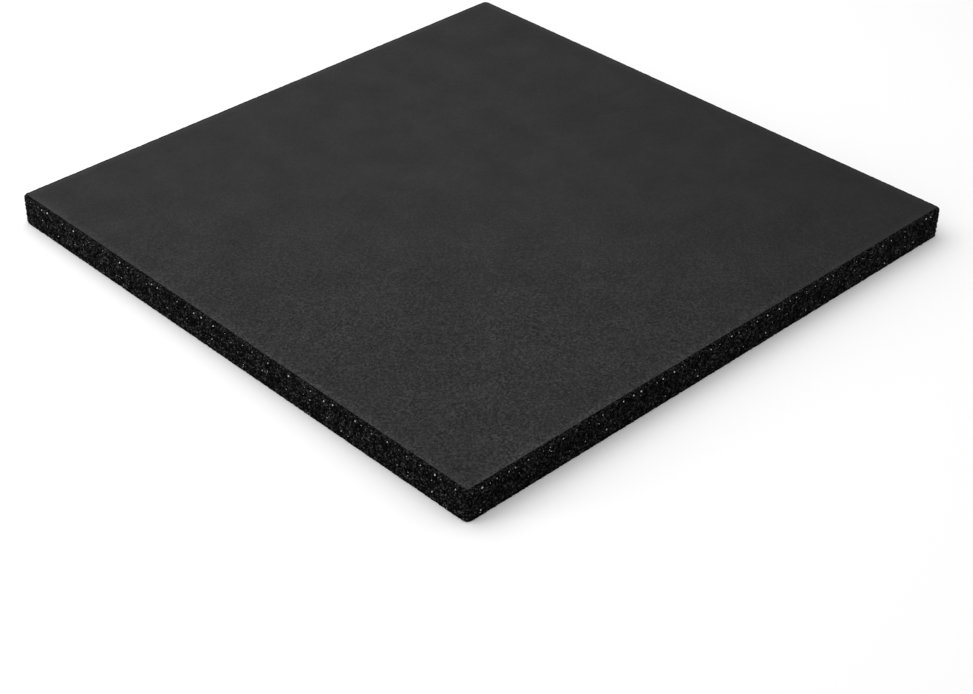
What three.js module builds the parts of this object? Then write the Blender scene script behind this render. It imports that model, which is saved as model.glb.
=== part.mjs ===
// Rubber gym floor tile: one square slab pressed from bonded rubber crumb, lying flat with its walking face up.
// Millimetres, +Z up, origin in the middle of the underside.
import * as THREE from 'three';

// Outside size of the slab
const tileLength = 500; // along X
const tileWidth = 500; // along Y
const tileThickness = 25; // along Z

// Edges as they come out of the mould
const cornerRadius = 5; // the four upright corners, seen from above
const topEdgeRadius = 2.5; // soft roll round the walking face
const bottomEdgeRadius = 1; // nearly sharp edge that stands on the floor

// How finely the round edges are divided
const cornerSteps = 5;
const topEdgeSteps = 5;
const bottomEdgeSteps = 3;
const sharpestCorner = 0.05; // an outline's corner keeps this radius when its inset is more than the corner's own

// Outline of the slab seen from above, drawn in from its sides by inset. Every outline has as many points.
function slabOutline(inset) {
  const radius = Math.max(cornerRadius - inset, sharpestCorner);
  const cornerX = tileLength / 2 - inset - radius;
  const cornerY = tileWidth / 2 - inset - radius;
  const outline = new THREE.Shape();
  outline.absarc(cornerX, cornerY, radius, 0, Math.PI / 2, false);
  outline.absarc(-cornerX, cornerY, radius, Math.PI / 2, Math.PI, false);
  outline.absarc(-cornerX, -cornerY, radius, Math.PI, 1.5 * Math.PI, false);
  outline.absarc(cornerX, -cornerY, radius, 1.5 * Math.PI, 2 * Math.PI, false);
  return outline.getPoints(cornerSteps);
}

// Heights and insets from the underside up: the bottom edge's quarter round, then the top edge's
function edgeProfile() {
  const levels = [];
  for (let step = 0; step <= bottomEdgeSteps; step++) {
    const angle = (step / bottomEdgeSteps) * (Math.PI / 2);
    levels.push({
      height: bottomEdgeRadius * (1 - Math.cos(angle)),
      inset: bottomEdgeRadius * (1 - Math.sin(angle)),
    });
  }
  for (let step = 0; step <= topEdgeSteps; step++) {
    const angle = (step / topEdgeSteps) * (Math.PI / 2);
    levels.push({
      height: tileThickness - topEdgeRadius * (1 - Math.sin(angle)),
      inset: topEdgeRadius * (1 - Math.cos(angle)),
    });
  }
  return levels;
}

// The slab: one outline at each level, joined by bands of triangles and closed by the two flat faces
function slabGeometry() {
  const levels = edgeProfile();
  const outlines = levels.map((level) => slabOutline(level.inset));
  const around = outlines[0].length;
  const positions = [];
  outlines.forEach((outline, i) => {
    for (const point of outline) positions.push(point.x, point.y, levels[i].height);
  });

  const triangles = [];
  for (let level = 0; level < levels.length - 1; level++) {
    for (let i = 0; i < around; i++) {
      const next = (i + 1) % around;
      const low = level * around;
      const high = low + around;
      triangles.push(low + i, low + next, high + next);
      triangles.push(low + i, high + next, high + i);
    }
  }
  const topStart = (levels.length - 1) * around;
  for (const [a, b, c] of THREE.ShapeUtils.triangulateShape(outlines[0], [])) triangles.push(c, b, a);
  for (const [a, b, c] of THREE.ShapeUtils.triangulateShape(outlines.at(-1), [])) {
    triangles.push(topStart + a, topStart + b, topStart + c);
  }

  const geometry = new THREE.BufferGeometry();
  geometry.setAttribute('position', new THREE.Float32BufferAttribute(positions, 3));
  geometry.setIndex(triangles);
  geometry.computeVertexNormals();
  return geometry;
}

// Black rubber crumb bonded in a press: dead matt, no metal
const bondedRubber = new THREE.MeshStandardMaterial({ color: 0x373839, roughness: 0.88, metalness: 0 });

const slab = new THREE.Mesh(slabGeometry(), bondedRubber);
slab.name = 'rubber_tile';

const tile = new THREE.Group();
tile.add(slab);

export default tile;
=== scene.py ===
# Rubber gym floor tile, dressed: the slab's walking face, its open crumb sides and the pale crumbs in them.
# Metres, +Z up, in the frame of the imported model. Sizes in the dictionaries are millimetres, unless a note
# beside them says otherwise. Noise, gain and tone values have no unit.
import itertools
import math

import bpy
import numpy as np
from mathutils import Matrix, Vector


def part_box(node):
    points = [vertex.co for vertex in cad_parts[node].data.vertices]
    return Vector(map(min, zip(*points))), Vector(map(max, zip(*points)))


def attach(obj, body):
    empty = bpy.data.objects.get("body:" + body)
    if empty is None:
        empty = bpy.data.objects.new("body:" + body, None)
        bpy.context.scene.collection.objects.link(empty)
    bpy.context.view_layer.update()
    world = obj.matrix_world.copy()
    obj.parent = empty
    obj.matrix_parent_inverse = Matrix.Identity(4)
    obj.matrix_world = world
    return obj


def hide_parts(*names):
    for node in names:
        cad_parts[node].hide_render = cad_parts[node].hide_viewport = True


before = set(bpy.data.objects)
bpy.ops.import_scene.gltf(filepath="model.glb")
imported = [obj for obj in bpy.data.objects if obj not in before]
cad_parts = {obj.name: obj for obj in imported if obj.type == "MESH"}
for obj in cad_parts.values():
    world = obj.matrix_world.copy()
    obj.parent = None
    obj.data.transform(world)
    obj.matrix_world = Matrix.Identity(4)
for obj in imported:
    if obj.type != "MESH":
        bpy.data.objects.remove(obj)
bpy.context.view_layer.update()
mm = 0.001


def hexColour(text):
    channels = [int(text[i : i + 2], 16) / 255 for i in (1, 3, 5)]
    linear = [c / 12.92 if c <= 0.04045 else ((c + 0.055) / 1.055) ** 2.4 for c in channels]
    return (*linear, 1.0)


def addNode(tree, kind, settings=None, links=None):
    # settings are the node's own options, links hold a value or another node's output for each input
    node = tree.nodes.new(kind)
    for name, value in (settings or {}).items():
        setattr(node, name, value)
    for name, value in (links or {}).items():
        if isinstance(value, bpy.types.NodeSocket):
            tree.links.new(value, node.inputs[name])
        else:
            node.inputs[name].default_value = value
    return node


def newMaterial(name):
    material = bpy.data.materials.new(name)
    material.use_nodes = True
    material.node_tree.nodes.clear()
    return material, material.node_tree


def perMetre(sizeInMm):
    return 1.0 / (sizeInMm * mm)  # a texture's Scale for a pattern whose cells are this big


def smoothStep(low, high, value):
    t = np.clip((value - low) / (high - low), 0, 1)
    return t * t * (3 - 2 * t)


print("frame loaded:", sorted(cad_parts))

# The slab's outline and edge

slab = {
    "cornerRadius": 5.0,  # upright corners
    "topRoll": 2.5,  # roll round the walking face
    "bottomRoll": 1.0,  # edge at the floor
    "skinInset": 3.0,  # from the sides to where the closed skin of the walking face starts
    "columns": 3968,  # points round the sides, about 0.5 mm apart, a multiple of 64 for the caps
    "rows": 54,  # steps up the edge, about 0.5 mm each
    "capInsets": (3.0, 5.0, 8.5, 15.0, 28.0, 52.0),  # rings of the flat faces, each halves the points
    "capRound": 0.1,  # corner radius of such a ring, as a share of its inset
    "triangles": 190000,  # what decimation leaves
    "sharpAngle": 28.0,  # degrees; a crease sharper than this stays a crease
    "levelNormal": 0.99,  # a face is level where its normal's upward part is above this
    "levelDepth": 0.1,  # and part of the walking face where it lies this near to it
}

lowCorner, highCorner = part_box("rubber_tile")
slabLength, slabWidth, slabHeight = [(highCorner[i] - lowCorner[i]) / mm for i in range(3)]
middle = np.array([(highCorner[i] + lowCorner[i]) / 2 / mm for i in range(2)])


def walkRound(count):
    # Each column's place on the outline: the corner it comes after, its share of the side that follows,
    # its normal's angle and how far round it is
    straights = [slabWidth - 2 * slab["cornerRadius"], slabLength - 2 * slab["cornerRadius"]] * 2
    arc = math.pi / 2 * slab["cornerRadius"]
    starts = np.cumsum([0] + [length for straight in straights for length in (arc, straight)])
    walked = np.arange(count) * starts[-1] / count
    piece = np.searchsorted(starts, walked, side="right") - 1
    share = (walked - starts[piece]) / (starts[piece + 1] - starts[piece])
    corner, onSide = piece // 2, piece % 2 == 1
    angle = (corner - 1 + np.where(onSide, 1.0, share)) * math.pi / 2
    return {"corner": corner, "share": np.where(onSide, share, 0.0), "angle": angle, "walked": walked}


def outlineAt(columns, inset, radius):
    # The columns' points on the outline moved in by inset, with corners of that radius
    reach = np.array([slabLength, slabWidth]) / 2 - inset - radius
    centres = np.array([(1, -1), (1, 1), (-1, 1), (-1, -1)]) * reach
    share = columns["share"][:, None]
    here, following = centres[columns["corner"]], centres[(columns["corner"] + 1) % 4]
    outward = np.stack([np.cos(columns["angle"]), np.sin(columns["angle"])], 1)
    return middle + here * (1 - share) + following * share + outward * radius


def edgeProfile(rows):
    # From the underside to the walking face: the way climbed, inset, height, and the normal's two parts
    bottom, top = slab["bottomRoll"], slab["topRoll"]
    quarter = math.pi / 2
    lengths = [quarter * bottom, slabHeight - bottom - top, quarter * top]
    climbed = np.linspace(0, sum(lengths), rows + 1)
    low = np.clip(climbed / lengths[0], 0, 1) * quarter
    high = np.clip((climbed - lengths[0] - lengths[1]) / lengths[2], 0, 1) * quarter
    straight = np.clip(climbed - lengths[0], 0, lengths[1])
    inset = bottom * (1 - np.sin(low)) + top * (1 - np.cos(high))
    height = bottom * (1 - np.cos(low)) + straight + top * np.sin(high)
    out = np.where(high > 0, np.cos(high), np.sin(low))
    up = np.where(high > 0, np.sin(high), -np.cos(low))
    return climbed, inset, height, out, up


# Pale crumbs in the sides, their pale colour a painted highlight for glints: two loose rows and some small
# ones anywhere

paintedGlintCrumbs = {
    "seed": 5,
    "rows": (  # height is above the floor, stagger a share of the step along the row
        {"perSide": 46, "height": 22.4, "spread": 0.35, "size": (0.2, 0.92), "stagger": 0.33},
        {"perSide": 12, "height": 7.5, "spread": 2.2, "size": (0.35, 0.75), "stagger": 0.4},
        {"perSide": 26, "height": 12.0, "spread": 6.0, "size": (0.3, 0.5), "stagger": 0.5},
    ),
    "keepOff": (1.8, 2.2),  # from the floor and from the walking face
    "lumpy": (0.7, 1.15),  # a crumb's corners lie this far out, as shares of its radius
    "turn": (0, 6.28),  # radians, about a random axis
    "standOut": 0.3,  # share of its radius by which its middle stands in front of the crumb behind
    "behindWall": 0.02,  # none comes nearer to the mould wall
    "opening": {"depth": 0.75, "floor": 0.8, "rim": 1.4},  # shares of its radius
    "paintedShadeRing": 1.2,  # width of the painted shade in the gap round each one
}


def placePaintedGlintCrumbs(count, height):
    # The column and row of the sides where each one sits, and its radius
    rng = np.random.default_rng(paintedGlintCrumbs["seed"])
    lowest, highest = paintedGlintCrumbs["keepOff"][0], slabHeight - paintedGlintCrumbs["keepOff"][1]
    places = []
    for line in paintedGlintCrumbs["rows"]:
        for number in range(4 * line["perSide"]):
            along = (number + 0.5 + rng.uniform(-line["stagger"], line["stagger"])) / (4 * line["perSide"])
            level = min(max(rng.normal(line["height"], line["spread"]), lowest), highest)
            row = int(np.argmin(np.abs(height - level)))
            places.append((int(along * count) % count, row, rng.uniform(*line["size"])))
    return places


paintedGlintPlaces = placePaintedGlintCrumbs(slab["columns"], edgeProfile(slab["rows"])[2])

# Relief of the moulded sides

crumb = {
    "seed": 11,
    "spacing": 1.55,  # between crumb centres
    "scatter": 0.48,  # how far a centre strays, as a share of the spacing
    "radius": (0.6, 1.7),
    "smallFirst": 1.6,  # above 1, small crumbs are the commoner ones
    "level": (-1.0, 0.2),  # how far a crumb's own face lies from the mould wall; above 0 it is pressed flat
    "tilt": 0.34,  # spread of the crumb faces' slopes
    "flanks": 6,
    "flankTurn": 0.3,  # how unevenly the flanks stand round the crumb, as a share of their step
    "flankReach": (0.55, 1.1),  # shares of the radius
    "flankSlope": (0.9, 2.8),
    "reachOver": 2.84,  # from a crumb's centre to where its lowest flank has run out
    "pitDepth": 1.8,
    "paintedPitShade": 1.44,  # painted shade in the pits: tone is gone at this depth
    "darkest": 0.2,  # tone of the darkest crumb, where the palest has 1
    "darkFirst": 2,  # above 1, dark crumbs are the commoner ones
    "paintedFootShadeTone": 0.45,  # painted shade at the floor: what is left of the tone right there
    "paintedFootShadeSpan": (0.5, 4.0),  # where along the climb it starts and ends
    "evenFoot": 2.0,  # no relief at the floor, all of it this far up
    "evenTop": 1.2,  # and the same below the walking face
}

closeBand = {  # the mould's hot plate closes the crumb just under the walking face
    "depth": 3.3,  # along the surface, from the walking face down
    "blend": 0.7,
    "wander": 0.35,  # of its lower limit, for each of the waves
    "waves": (97, 211, 433),  # round the whole tile
    "waveStart": (0, 6),  # radians
    "relief": 0.2,  # share of the relief that shows in it
    "tone": 0.38,
}


def scatterCrumbs(around, tall, rng):
    # Staggered rows of crumbs over the unrolled sides
    across, upward = round(around / crumb["spacing"]), round(tall / crumb["spacing"])
    grid = np.stack(np.meshgrid(np.arange(across), np.arange(upward), indexing="ij"), -1).reshape(-1, 2)
    stray = rng.uniform(-crumb["scatter"], crumb["scatter"], grid.shape)
    spot = grid + 0.5 + 0.5 * (grid[:, 1:] % 2) * (1, 0) + stray
    small, large = crumb["radius"]
    return {
        "spot": spot * (around / across, tall / upward),
        "radius": small + (large - small) * rng.random(len(spot)) ** crumb["smallFirst"],
        "level": rng.uniform(*crumb["level"], len(spot)),
        "tilt": rng.normal(0, crumb["tilt"], (len(spot), 2)),
        "tone": rng.random(len(spot)),
    }


def crumbFaces(crumbs, stepU, stepV, rng):
    # The points round each crumb, and how high its face or its lowest flank stands there
    reach = int(math.ceil(crumb["reachOver"] / min(stepU, stepV)))
    window = np.arange(-reach, reach + 1)
    column = np.round(crumbs["spot"][:, 0] / stepU).astype(int)[:, None, None] + window[None, None, :]
    row = np.round(crumbs["spot"][:, 1] / stepV).astype(int)[:, None, None] + window[None, :, None]
    du = column * stepU - crumbs["spot"][:, 0, None, None]
    dv = row * stepV - crumbs["spot"][:, 1, None, None]
    level = crumbs["level"][:, None, None]
    face = level + crumbs["tilt"][:, 0, None, None] * du + crumbs["tilt"][:, 1, None, None] * dv
    count = len(level)
    turn = rng.uniform(0, 2 * math.pi, count)
    for flank in range(crumb["flanks"]):
        uneven = rng.uniform(-crumb["flankTurn"], crumb["flankTurn"], count)
        angle = turn + (flank + uneven) * 2 * math.pi / crumb["flanks"]
        distance = crumbs["radius"] * rng.uniform(*crumb["flankReach"], count)
        slope = rng.uniform(*crumb["flankSlope"], count)
        along = du * np.cos(angle)[:, None, None] + dv * np.sin(angle)[:, None, None]
        face = np.minimum(face, level + slope[:, None, None] * (distance[:, None, None] - along))
    return column, row, face


def closeUp(relief, tones, columns, climbed, rng):
    # The close band with its uneven lower limit, the foot darkened by painted shade, and no relief at either
    # end of the climb
    turns = columns["walked"] * 2 * math.pi / (columns["walked"][1] * len(columns["walked"]))
    starts = rng.uniform(*closeBand["waveStart"], len(closeBand["waves"]))
    wander = sum(np.sin(turns * waves + start) for waves, start in zip(closeBand["waves"], starts))
    above = climbed[:, None] - (climbed[-1] - closeBand["depth"]) + closeBand["wander"] * wander[None, :]
    closed = smoothStep(-closeBand["blend"], closeBand["blend"], above)
    relief = relief * (1 - (1 - closeBand["relief"]) * closed)
    tones = tones * (1 - closed) + closeBand["tone"] * closed
    # Painted shade: the tone darkens towards the floor
    tones *= crumb["paintedFootShadeTone"] + (1 - crumb["paintedFootShadeTone"]) * smoothStep(*crumb["paintedFootShadeSpan"], climbed)[:, None]
    fromTop = climbed[-1] - climbed
    fade = np.clip(climbed / crumb["evenFoot"], 0, 1) * np.clip(fromTop / crumb["evenTop"], 0, 1)
    return relief * fade[:, None], tones


def openRoundPaintedGlints(relief, tones, stepU, stepV):
    # An opening round each pale crumb, so that it shows in the close band too, and painted shade round it
    opening = paintedGlintCrumbs["opening"]
    for column, row, radius in paintedGlintPlaces:
        reach = radius + paintedGlintCrumbs["paintedShadeRing"]
        sideways, upward = int(reach / stepU) + 1, int(reach / stepV) + 1
        columns = np.arange(column - sideways, column + sideways + 1)
        # The first row and the last three stay, where the sides run into the flat faces
        rows = np.arange(max(row - upward, 1), min(row + upward + 1, len(relief) - 3))
        off = np.hypot((columns - column)[None, :] * stepU, (rows - row)[:, None] * stepV)
        closed = smoothStep(opening["floor"] * radius, opening["rim"] * radius, off)
        patch = np.ix_(rows, columns % relief.shape[1])
        relief[patch] = np.minimum(relief[patch], -opening["depth"] * radius * (1 - closed))
        # Painted shade round the pale crumb, fading out towards the rest of the side
        tones[patch] *= smoothStep(radius, reach, off)


def crumbRelief(columns, climbed):
    # Highest face at each point among many flat-sided crumbs, none of them past the mould wall, and its
    # tone, with painted shade in the pits, at the foot and round the pale crumbs
    rng = np.random.default_rng(crumb["seed"])
    stepU, stepV = columns["walked"][1], climbed[1]
    crumbs = scatterCrumbs(stepU * len(columns["walked"]), climbed[-1], rng)
    column, row, face = crumbFaces(crumbs, stepU, stepV, rng)
    column = np.broadcast_to(column % len(columns["walked"]), face.shape)
    row = np.broadcast_to(row, face.shape)
    inside = (row >= 0) & (row < len(climbed)) & (face > -crumb["pitDepth"])
    owner = np.nonzero(inside)[0]
    column, row, face = column[inside], row[inside], np.minimum(face[inside], 0)
    relief = np.full((len(climbed), len(columns["walked"])), -crumb["pitDepth"])
    np.maximum.at(relief, (row, column), face)

    tones = np.zeros_like(relief)
    rounding = 1e-9
    wins = face >= relief[row, column] - rounding
    own = crumbs["tone"][owner[wins]] ** crumb["darkFirst"]
    tones[row[wins], column[wins]] = crumb["darkest"] + (1 - crumb["darkest"]) * own
    # Painted shade: the deeper a point lies in a pit, the darker its tone
    tones *= np.clip(1 + relief / crumb["paintedPitShade"], 0, 1)
    relief, tones = closeUp(relief, tones, columns, climbed, rng)
    openRoundPaintedGlints(relief, tones, stepU, stepV)
    return relief, tones


# The slab's mesh


def flatFace(columns, ring, z, facesDown, firstPoint):
    # A flat face in rings that thin out towards the middle: its points, its triangles and the last ring
    points, triangles = [], []
    for turn, inset in enumerate(slab["capInsets"], 1):
        fewer = {name: values[:: 2**turn] for name, values in columns.items()}
        flat = outlineAt(fewer, inset, slab["capRound"] * inset)
        inner = firstPoint + np.arange(len(flat))
        firstPoint += len(flat)
        first, second, third = ring[::2], ring[1::2], np.roll(ring[::2], -1)
        nextInner = np.roll(inner, -1)
        for three in ((first, second, inner), (second, nextInner, inner), (second, third, nextInner)):
            triangles.append(np.stack(three[::-1] if facesDown else three, -1))
        points.append(np.column_stack([flat, np.full(len(flat), z)]))
        ring = inner
    return points, triangles, ring[::-1] if facesDown else ring


def thinOut(piece, group, ratio):
    # Fewer triangles where the sides are nearly flat. Thinning bulges a little, so the box clips it.
    decimate = piece.modifiers.new("fewer flat triangles", "DECIMATE")
    decimate.ratio = ratio
    decimate.vertex_group = group
    decimate.use_collapse_triangulate = True
    thinned = bpy.data.meshes.new_from_object(piece.evaluated_get(bpy.context.evaluated_depsgraph_get()))
    piece.modifiers.clear()
    piece.data = thinned
    places = np.zeros(len(thinned.vertices) * 3, np.float32)
    thinned.vertices.foreach_get("co", places)
    places = np.clip(places.reshape(-1, 3), np.array(lowCorner), np.array(highCorner))
    thinned.vertices.foreach_set("co", places.reshape(-1).astype(np.float32))


def buildSlab():
    columns = walkRound(slab["columns"])
    climbed, inset, height, out, up = edgeProfile(slab["rows"])
    relief, tones = crumbRelief(columns, climbed)
    outward = np.stack([np.cos(columns["angle"]), np.sin(columns["angle"])], 1)
    points = []
    for i in range(len(climbed)):
        flat = outlineAt(columns, inset[i], slab["cornerRadius"] - inset[i])
        flat = flat + outward * out[i] * relief[i][:, None]
        points.append(np.column_stack([flat, height[i] + up[i] * relief[i]]))

    index = np.arange(tones.size).reshape(tones.shape)
    a, b = index[:-1], np.roll(index[:-1], -1, 1)
    c, d = np.roll(index[1:], -1, 1), index[1:]
    triangles = [np.stack([a, b, c], -1).reshape(-1, 3), np.stack([a, c, d], -1).reshape(-1, 3)]
    middles = []
    for ring, z, facesDown in ((index[0], 0.0, True), (index[-1], slabHeight, False)):
        firstPoint = sum(len(some) for some in points)
        morePoints, moreTriangles, lastRing = flatFace(columns, ring, z, facesDown, firstPoint)
        points += morePoints
        triangles += moreTriangles
        middles.append(lastRing.tolist())

    points, triangles = np.concatenate(points) * mm, np.concatenate(triangles)
    shades = np.full(len(points), closeBand["tone"], np.float32)
    shades[: tones.size] = tones.reshape(-1)
    mesh = bpy.data.meshes.new("slab")
    mesh.from_pydata(points.tolist(), [], triangles.tolist() + middles)
    mesh.attributes.new("crumbTone", "FLOAT", "POINT").data.foreach_set("value", shades)
    mesh.update()
    piece = bpy.data.objects.new("moulded_slab", mesh)
    bpy.context.scene.collection.objects.link(piece)
    # Only the points of the sides are thinned out, so that the flat faces' rings stay
    sides = piece.vertex_groups.new(name="sides")
    sides.add(index[1:-1].reshape(-1).tolist(), 1.0, "REPLACE")
    thinOut(piece, sides.name, slab["triangles"] / len(triangles))
    piece.data.shade_smooth()
    piece.data.set_sharp_from_angle(angle=math.radians(slab["sharpAngle"]))
    print("slab:", len(triangles), "triangles made,", len(piece.data.polygons), "kept")
    return piece, relief


slabPiece, sideRelief = buildSlab()


def lump():
    # Corners and outward facing triangles of a twenty-sided lump of radius 1
    golden = (1 + math.sqrt(5)) / 2
    corners = np.array([(0, s, t * golden) for s in (-1, 1) for t in (-1, 1)])
    corners = np.concatenate([np.roll(corners, turn, 1) for turn in range(3)]) / math.hypot(1, golden)
    longest = 1.01 * 2 / math.hypot(1, golden)  # an edge, and a little for rounding
    triangles = []
    for i, j, k in itertools.combinations(range(len(corners)), 3):
        if max(np.linalg.norm(corners[p] - corners[q]) for p, q in ((i, j), (j, k), (i, k))) < longest:
            facing = np.dot(np.cross(corners[j] - corners[i], corners[k] - corners[i]), corners[i])
            triangles.append((i, j, k) if facing > 0 else (i, k, j))
    return corners, triangles


def buildPaintedGlintCrumbs():
    rng = np.random.default_rng(paintedGlintCrumbs["seed"] + 1)
    corners, triangles = lump()
    columns = walkRound(slab["columns"])
    inset, height = edgeProfile(slab["rows"])[1:3]
    points, faces = [], []
    for column, row, radius in paintedGlintPlaces:
        shape = corners * rng.uniform(*paintedGlintCrumbs["lumpy"], (len(corners), 1)) * radius
        turn = rng.uniform(*paintedGlintCrumbs["turn"])
        shape = shape @ np.array(Matrix.Rotation(turn, 3, Vector(rng.normal(0, 1, 3))))
        angle = columns["angle"][column]
        outward = np.array([math.cos(angle), math.sin(angle), 0])
        sideways = np.array([-math.sin(angle), math.cos(angle), 0])
        nearest = -shape[:, 0].max() - paintedGlintCrumbs["behindWall"]
        deep = min(sideRelief[row, column] + paintedGlintCrumbs["standOut"] * radius, nearest)
        one = {name: values[column : column + 1] for name, values in columns.items()}
        base = np.append(outlineAt(one, inset[row], slab["cornerRadius"] - inset[row])[0], height[row])
        faces += [[len(corners) * len(points) + i for i in three] for three in triangles]
        turned = shape[:, :1] * outward + shape[:, 1:2] * sideways + shape[:, 2:] * np.array([0, 0, 1])
        points.append(base + outward * deep + turned)
    mesh = bpy.data.meshes.new("painted_glint_crumbs")
    mesh.from_pydata((np.concatenate(points) * mm).tolist(), [], faces)
    piece = bpy.data.objects.new("painted_glint_crumbs", mesh)
    bpy.context.scene.collection.objects.link(piece)
    print("pale crumbs:", len(points), "in one mesh of", len(mesh.polygons), "triangles")
    return piece


paintedGlintPiece = buildPaintedGlintCrumbs()

# Finishes


def pressedSkin():
    # Black rubber crumb closed up against a hot plate: dead matt charcoal with a fine grain and slow clouds.
    # A painted highlight along the border makes it a little paler there. The plate pressed unevenly,
    # so the grain fades towards the back corner, and painted shade darkens the tone towards the corner on
    # the right.
    finish = {
        "base": "#3d3d3d",
        "deep": "#131313",
        "grain": 1.6,
        "grainDetail": 2.0,
        "grainRoughness": 0.6,
        "grainNoise": (0.32, 0.68),  # noise that gives the darkest and the palest grain
        "grainPower": 1.5,  # as much dark grain as pale
        "grainDepth": 0.2,
        "plainTone": 0.4,  # between deep and base, where no grain shows
        "patch": 9.0,
        "patchDetail": 1.0,
        "patchNoise": (0.4, 0.65),
        "patchShow": (0.65, 0.95),  # how much of the grain shows in a closed and in an open patch
        "frontWay": (-0.7, -0.7, 0.0),  # from the middle of the tile to the front corner
        "frontReach": (-0.05, 0.2),  # metres that way, over which the grain comes up
        "backShow": 0.18,  # how much of it shows behind that
        "cloud": 34.0,
        "cloudDetail": 5.0,
        "cloudRoughness": 0.62,
        "cloudNoise": (0.3, 0.7),
        "cloudGain": (0.82, 1.15),
        # painted highlight along the border of the walking face
        "paintedRimHighlightWidth": 8.0,
        "paintedRimHighlightGain": 1.38,
        # painted shade towards the corner on the right
        "paintedShadeWay": (0.85, -0.53, 0.0),  # from the middle of the tile to the corner on the right
        "paintedShadeReach": (-0.05, 0.5),  # metres that way
        "paintedShadeGain": 0.5,
        "roughness": 0.82,
        "specular": 0.12,
        "ior": 1.52,  # vulcanised rubber
    }
    material, tree = newMaterial("pressed rubber skin, hot moulded")
    coords = addNode(tree, "ShaderNodeTexCoord").outputs["Object"]
    grain = addNode(tree, "ShaderNodeTexNoise", {}, {
        "Vector": coords,
        "Scale": perMetre(finish["grain"]),
        "Detail": finish["grainDetail"],
        "Roughness": finish["grainRoughness"],
    })
    spread = addNode(tree, "ShaderNodeMapRange", {}, {
        "Value": grain.outputs["Fac"],
        "From Min": finish["grainNoise"][0],
        "From Max": finish["grainNoise"][1],
    })
    even = addNode(tree, "ShaderNodeMath", {"operation": "POWER"}, {
        0: spread.outputs["Result"], 1: finish["grainPower"],
    })
    # How much of the grain shows: patches, times the way from the back to the front corner
    patches = addNode(tree, "ShaderNodeTexNoise", {}, {
        "Vector": coords, "Scale": perMetre(finish["patch"]), "Detail": finish["patchDetail"],
    })
    patchy = addNode(tree, "ShaderNodeMapRange", {}, {
        "Value": patches.outputs["Fac"],
        "From Min": finish["patchNoise"][0],
        "From Max": finish["patchNoise"][1],
        "To Min": finish["patchShow"][0],
        "To Max": finish["patchShow"][1],
    })
    towardsFront = addNode(tree, "ShaderNodeVectorMath", {"operation": "DOT_PRODUCT"}, {
        0: coords, 1: finish["frontWay"],
    })
    comingUp = addNode(tree, "ShaderNodeMapRange", {"interpolation_type": "SMOOTHSTEP"}, {
        "Value": towardsFront.outputs["Value"],
        "From Min": finish["frontReach"][0],
        "From Max": finish["frontReach"][1],
        "To Min": finish["backShow"],
        "To Max": 1.0,
    })
    visible = addNode(tree, "ShaderNodeMath", {"operation": "MULTIPLY"}, {
        0: patchy.outputs["Result"], 1: comingUp.outputs["Result"],
    })
    grainTone = addNode(tree, "ShaderNodeMix", {"data_type": "FLOAT"}, {
        0: visible.outputs[0], 2: finish["plainTone"], 3: even.outputs[0],
    })
    shade = addNode(tree, "ShaderNodeMix", {"data_type": "RGBA"}, {
        "Factor": grainTone.outputs[0], 6: hexColour(finish["deep"]), 7: hexColour(finish["base"]),
    })
    clouds = addNode(tree, "ShaderNodeTexNoise", {}, {
        "Vector": coords,
        "Scale": perMetre(finish["cloud"]),
        "Detail": finish["cloudDetail"],
        "Roughness": finish["cloudRoughness"],
    })
    cloudy = addNode(tree, "ShaderNodeMapRange", {}, {
        "Value": clouds.outputs["Fac"],
        "From Min": finish["cloudNoise"][0],
        "From Max": finish["cloudNoise"][1],
        "To Min": finish["cloudGain"][0],
        "To Max": finish["cloudGain"][1],
    })
    # How near the border a point is, the same on all four sides
    flat = addNode(tree, "ShaderNodeVectorMath", {"operation": "ABSOLUTE"}, {0: coords})
    axes = addNode(tree, "ShaderNodeSeparateXYZ", {}, {0: flat.outputs[0]})
    farthest = addNode(tree, "ShaderNodeMath", {"operation": "MAXIMUM"}, {
        0: axes.outputs[0], 1: axes.outputs[1],
    })
    border = slabLength / 2 - slab["skinInset"]
    # Painted highlight: the tone is raised towards the border of the walking face
    rim = addNode(tree, "ShaderNodeMapRange", {"interpolation_type": "SMOOTHSTEP"}, {
        "Value": farthest.outputs[0],
        "From Min": (border - finish["paintedRimHighlightWidth"]) * mm,
        "From Max": border * mm,
        "To Min": 1.0,
        "To Max": finish["paintedRimHighlightGain"],
    })
    # Painted shade: the tone darkens towards the corner on the right
    towardsDark = addNode(tree, "ShaderNodeVectorMath", {"operation": "DOT_PRODUCT"}, {
        0: coords, 1: finish["paintedShadeWay"],
    })
    darker = addNode(tree, "ShaderNodeMapRange", {"interpolation_type": "SMOOTHSTEP"}, {
        "Value": towardsDark.outputs["Value"],
        "From Min": finish["paintedShadeReach"][0],
        "From Max": finish["paintedShadeReach"][1],
        "To Min": 1.0,
        "To Max": finish["paintedShadeGain"],
    })
    slow = addNode(tree, "ShaderNodeMath", {"operation": "MULTIPLY"}, {
        0: cloudy.outputs[0], 1: darker.outputs[0],
    })
    gain = addNode(tree, "ShaderNodeMath", {"operation": "MULTIPLY"}, {
        0: slow.outputs[0], 1: rim.outputs[0],
    })
    colour = addNode(tree, "ShaderNodeMix", {"data_type": "RGBA", "blend_type": "MULTIPLY"}, {
        "Factor": 1.0, 6: shade.outputs[2], 7: gain.outputs[0],
    })
    bump = addNode(tree, "ShaderNodeBump", {}, {
        "Height": grain.outputs["Fac"],
        "Strength": visible.outputs[0],
        "Distance": finish["grainDepth"] * mm,
    })
    shader = addNode(tree, "ShaderNodeBsdfPrincipled", {}, {
        "Base Color": colour.outputs[2],
        "Roughness": finish["roughness"],
        "IOR": finish["ior"],
        "Specular IOR Level": finish["specular"],
        "Normal": bump.outputs["Normal"],
    })
    addNode(tree, "ShaderNodeOutputMaterial", {}, {"Surface": shader.outputs["BSDF"]})
    return material


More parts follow.
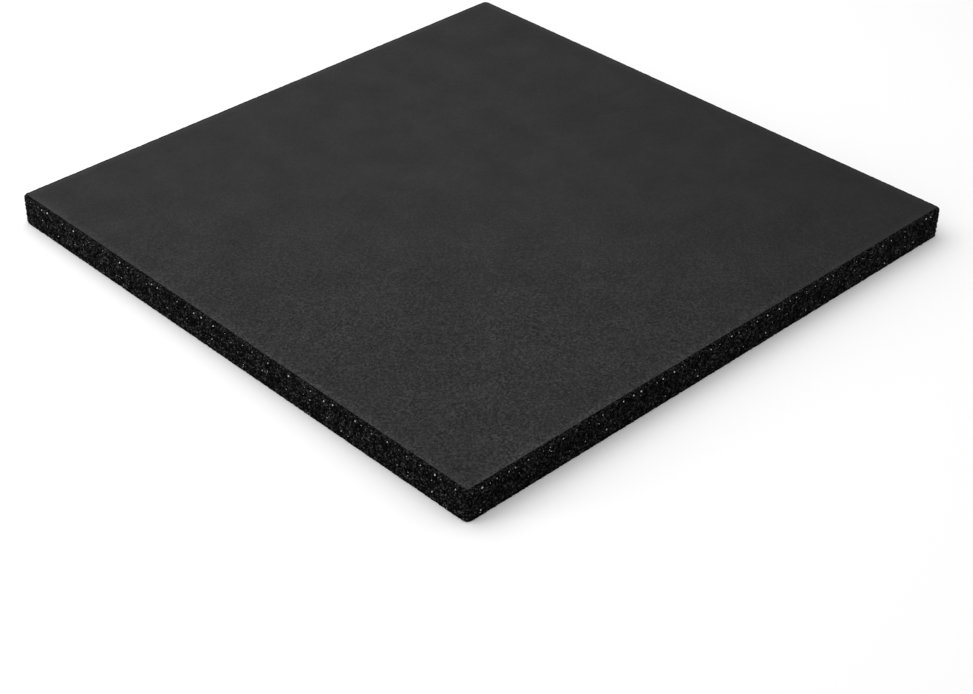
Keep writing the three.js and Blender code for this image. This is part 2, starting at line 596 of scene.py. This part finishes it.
def openCrumb():
    # Black rubber granules held by a thin clear binder: near black, each granule a little different, with
    # painted shade between them, and a faint gleam
    finish = {
        "dark": "#020202",
        "light": "#424242",
        "granule": 1.3,
        "gapReach": (0.2, 0.65),  # from a granule's middle out, in cells, where its tone falls off
        "gapPaintedShade": 0.05,
        "darkFirst": 1.6,  # above 1, dark granules are the commoner ones
        "ownTone": (0.25, 2.05),
        "tooth": 0.45,  # too fine to be seen by itself, it breaks up the gleam
        "toothDetail": 2.0,
        "toothStrength": 0.6,
        "toothDepth": 0.25,
        "roughness": 0.5,
        "specular": 0.006,  # nearly none, because the pits swallow it
        "ior": 1.52,  # vulcanised rubber
    }
    material, tree = newMaterial("bonded rubber granulate, open moulded side")
    coords = addNode(tree, "ShaderNodeTexCoord").outputs["Object"]
    crumbTone = addNode(tree, "ShaderNodeAttribute", {"attribute_name": "crumbTone"}).outputs["Fac"]
    granule = addNode(tree, "ShaderNodeTexVoronoi", {}, {
        "Vector": coords, "Scale": perMetre(finish["granule"]),
    })
    # Painted shade between the granules: the tone falls off towards each cell's edge
    gap = addNode(tree, "ShaderNodeMapRange", {}, {
        "Value": granule.outputs["Distance"],
        "From Min": finish["gapReach"][0],
        "From Max": finish["gapReach"][1],
        "To Min": 1.0,
        "To Max": finish["gapPaintedShade"],
    })
    draw = addNode(tree, "ShaderNodeSeparateColor", {}, {0: granule.outputs["Color"]})
    rare = addNode(tree, "ShaderNodeMath", {"operation": "POWER"}, {
        0: draw.outputs[0], 1: finish["darkFirst"],
    })
    own = addNode(tree, "ShaderNodeMapRange", {}, {
        "Value": rare.outputs[0], "To Min": finish["ownTone"][0], "To Max": finish["ownTone"][1],
    })
    seen = addNode(tree, "ShaderNodeMath", {"operation": "MULTIPLY"}, {0: own.outputs[0], 1: gap.outputs[0]})
    tone = addNode(tree, "ShaderNodeMath", {"operation": "MULTIPLY"}, {0: seen.outputs[0], 1: crumbTone})
    colour = addNode(tree, "ShaderNodeMix", {"data_type": "RGBA"}, {
        "Factor": tone.outputs[0], 6: hexColour(finish["dark"]), 7: hexColour(finish["light"]),
    })
    tooth = addNode(tree, "ShaderNodeTexNoise", {}, {
        "Vector": coords, "Scale": perMetre(finish["tooth"]), "Detail": finish["toothDetail"],
    })
    domed = addNode(tree, "ShaderNodeMath", {"operation": "SUBTRACT"}, {
        0: tooth.outputs["Fac"], 1: granule.outputs["Distance"],
    })
    bump = addNode(tree, "ShaderNodeBump", {}, {
        "Height": domed.outputs[0],
        "Strength": finish["toothStrength"],
        "Distance": finish["toothDepth"] * mm,
    })
    shader = addNode(tree, "ShaderNodeBsdfPrincipled", {}, {
        "Base Color": colour.outputs[2],
        "Roughness": finish["roughness"],
        "IOR": finish["ior"],
        "Specular IOR Level": finish["specular"],
        "Normal": bump.outputs["Normal"],
    })
    addNode(tree, "ShaderNodeOutputMaterial", {}, {"Surface": shader.outputs["BSDF"]})
    return material


def paintedGlintGranule():
    # Granule painted light grey as a painted highlight for a glint, with a film of clear binder that catches
    # a small bright glint from the lamps
    finish = {
        # painted highlight: pale greys that stand in for glints
        "dark": "#6c6c6a",
        "light": "#dededa",
        "patch": 2.4,
        "roughness": 0.3,
        "ior": 1.5,  # cured polyurethane
    }
    material, tree = newMaterial("painted glint granule, binder coated")
    coords = addNode(tree, "ShaderNodeTexCoord").outputs["Object"]
    patch = addNode(tree, "ShaderNodeTexNoise", {}, {"Vector": coords, "Scale": perMetre(finish["patch"])})
    colour = addNode(tree, "ShaderNodeMix", {"data_type": "RGBA"}, {
        "Factor": patch.outputs["Fac"], 6: hexColour(finish["dark"]), 7: hexColour(finish["light"]),
    })
    shader = addNode(tree, "ShaderNodeBsdfPrincipled", {}, {
        "Base Color": colour.outputs[2], "Roughness": finish["roughness"], "IOR": finish["ior"],
    })
    addNode(tree, "ShaderNodeOutputMaterial", {}, {"Surface": shader.outputs["BSDF"]})
    return material


def facesInSkin(mesh):
    # Faces of the walking face that lie further in than the black roll round it
    normals, centres = np.zeros(len(mesh.polygons) * 3), np.zeros(len(mesh.polygons) * 3)
    mesh.polygons.foreach_get("normal", normals)
    mesh.polygons.foreach_get("center", centres)
    centres = centres.reshape(-1, 3) / mm
    inset = (np.array([slabLength, slabWidth]) / 2 - np.abs(centres[:, :2] - middle)).min(1)
    level = normals.reshape(-1, 3)[:, 2] > slab["levelNormal"]
    onTop = centres[:, 2] > slabHeight - slab["levelDepth"]
    return level & onTop & (inset > slab["skinInset"])


slabPiece.data.materials.clear()
for material in (openCrumb(), pressedSkin()):
    slabPiece.data.materials.append(material)
slabPiece.data.polygons.foreach_set("material_index", facesInSkin(slabPiece.data).astype(np.int32))
paintedGlintPiece.data.materials.append(paintedGlintGranule())

for piece in (slabPiece, paintedGlintPiece):
    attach(piece, "root")
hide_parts("rubber_tile")
print("finishes on")

# Studio

studio = {
    "floorSize": 16.0,  # metres
    "floorWhite": "#f8f8f8",
    "floorRoughness": 0.9,
    "floorSpecular": 0.1,
    "skyWhite": "#ffffff",
    "skyStrength": 0.83,
    "softboxes": {  # place and size in metres, power in watts
        "key softbox": {"place": (-0.25, 0.45, 1.15), "size": 1.2, "power": 7.0},
        "side softbox": {"place": (-1.1, 0.3, 0.16), "size": 0.3, "power": 3.4},
    },
}


def buildStudio():
    half = studio["floorSize"] / 2
    corners = [(-half, -half, 0), (half, -half, 0), (half, half, 0), (-half, half, 0)]
    mesh = bpy.data.meshes.new("floor")
    mesh.from_pydata(corners, [], [(0, 1, 2, 3)])
    floor = bpy.data.objects.new("floor", mesh)
    bpy.context.scene.collection.objects.link(floor)
    # Matt uncoated paper: plain white without a gleam, so that it shows nothing but the soft shadow
    material, tree = newMaterial("white paper sweep, matt")
    paper = addNode(tree, "ShaderNodeBsdfPrincipled", {}, {
        "Base Color": hexColour(studio["floorWhite"]),
        "Roughness": studio["floorRoughness"],
        "Specular IOR Level": studio["floorSpecular"],
    })
    addNode(tree, "ShaderNodeOutputMaterial", {}, {"Surface": paper.outputs["BSDF"]})
    mesh.materials.append(material)

    world = bpy.data.worlds.new("white tent")
    world.use_nodes = True
    world.node_tree.nodes.clear()
    sky = addNode(world.node_tree, "ShaderNodeBackground", {}, {
        "Color": hexColour(studio["skyWhite"]), "Strength": studio["skyStrength"],
    })
    addNode(world.node_tree, "ShaderNodeOutputWorld", {}, {"Surface": sky.outputs["Background"]})
    bpy.context.scene.world = world

    for name, box in studio["softboxes"].items():
        light = bpy.data.lights.new(name, "AREA")
        light.size = box["size"]
        light.energy = box["power"]
        lamp = bpy.data.objects.new(name, light)
        lamp.location = box["place"]
        lamp.rotation_euler = (-lamp.location).to_track_quat("-Z", "Y").to_euler()
        lamp.visible_camera = False
        bpy.context.scene.collection.objects.link(lamp)
    bpy.context.scene.view_settings.view_transform = "Standard"


view = {
    "place": (-0.9181, -0.9456, 0.8189),  # metres
    "heading": 47.49,  # degrees from +X
    "tiltDown": 35.25,
    "roll": -0.47,
    "lens": 73.98,  # on a 36 mm wide sensor
    "shift": 0.058,  # the picture is cropped a little to one side
}


def buildCamera():
    heading, tilt, roll = [math.radians(view[name]) for name in ("heading", "tiltDown", "roll")]
    level = math.cos(tilt)
    ahead = Vector((level * math.cos(heading), level * math.sin(heading), -math.sin(tilt)))
    right = ahead.cross(Vector((0, 0, 1))).normalized()
    above = right.cross(ahead)
    turnedRight = math.cos(roll) * right + math.sin(roll) * above
    turnedAbove = math.cos(roll) * above - math.sin(roll) * right
    camera = bpy.data.objects.new("camera", bpy.data.cameras.new("camera"))
    camera.data.lens = view["lens"]
    camera.data.shift_x = view["shift"]
    axes = Matrix((turnedRight, turnedAbove, -ahead)).transposed()
    camera.matrix_world = Matrix.Translation(view["place"]) @ axes.to_4x4()
    bpy.context.scene.collection.objects.link(camera)
    bpy.context.scene.camera = camera


buildStudio()
buildCamera()
print("studio and camera ready")
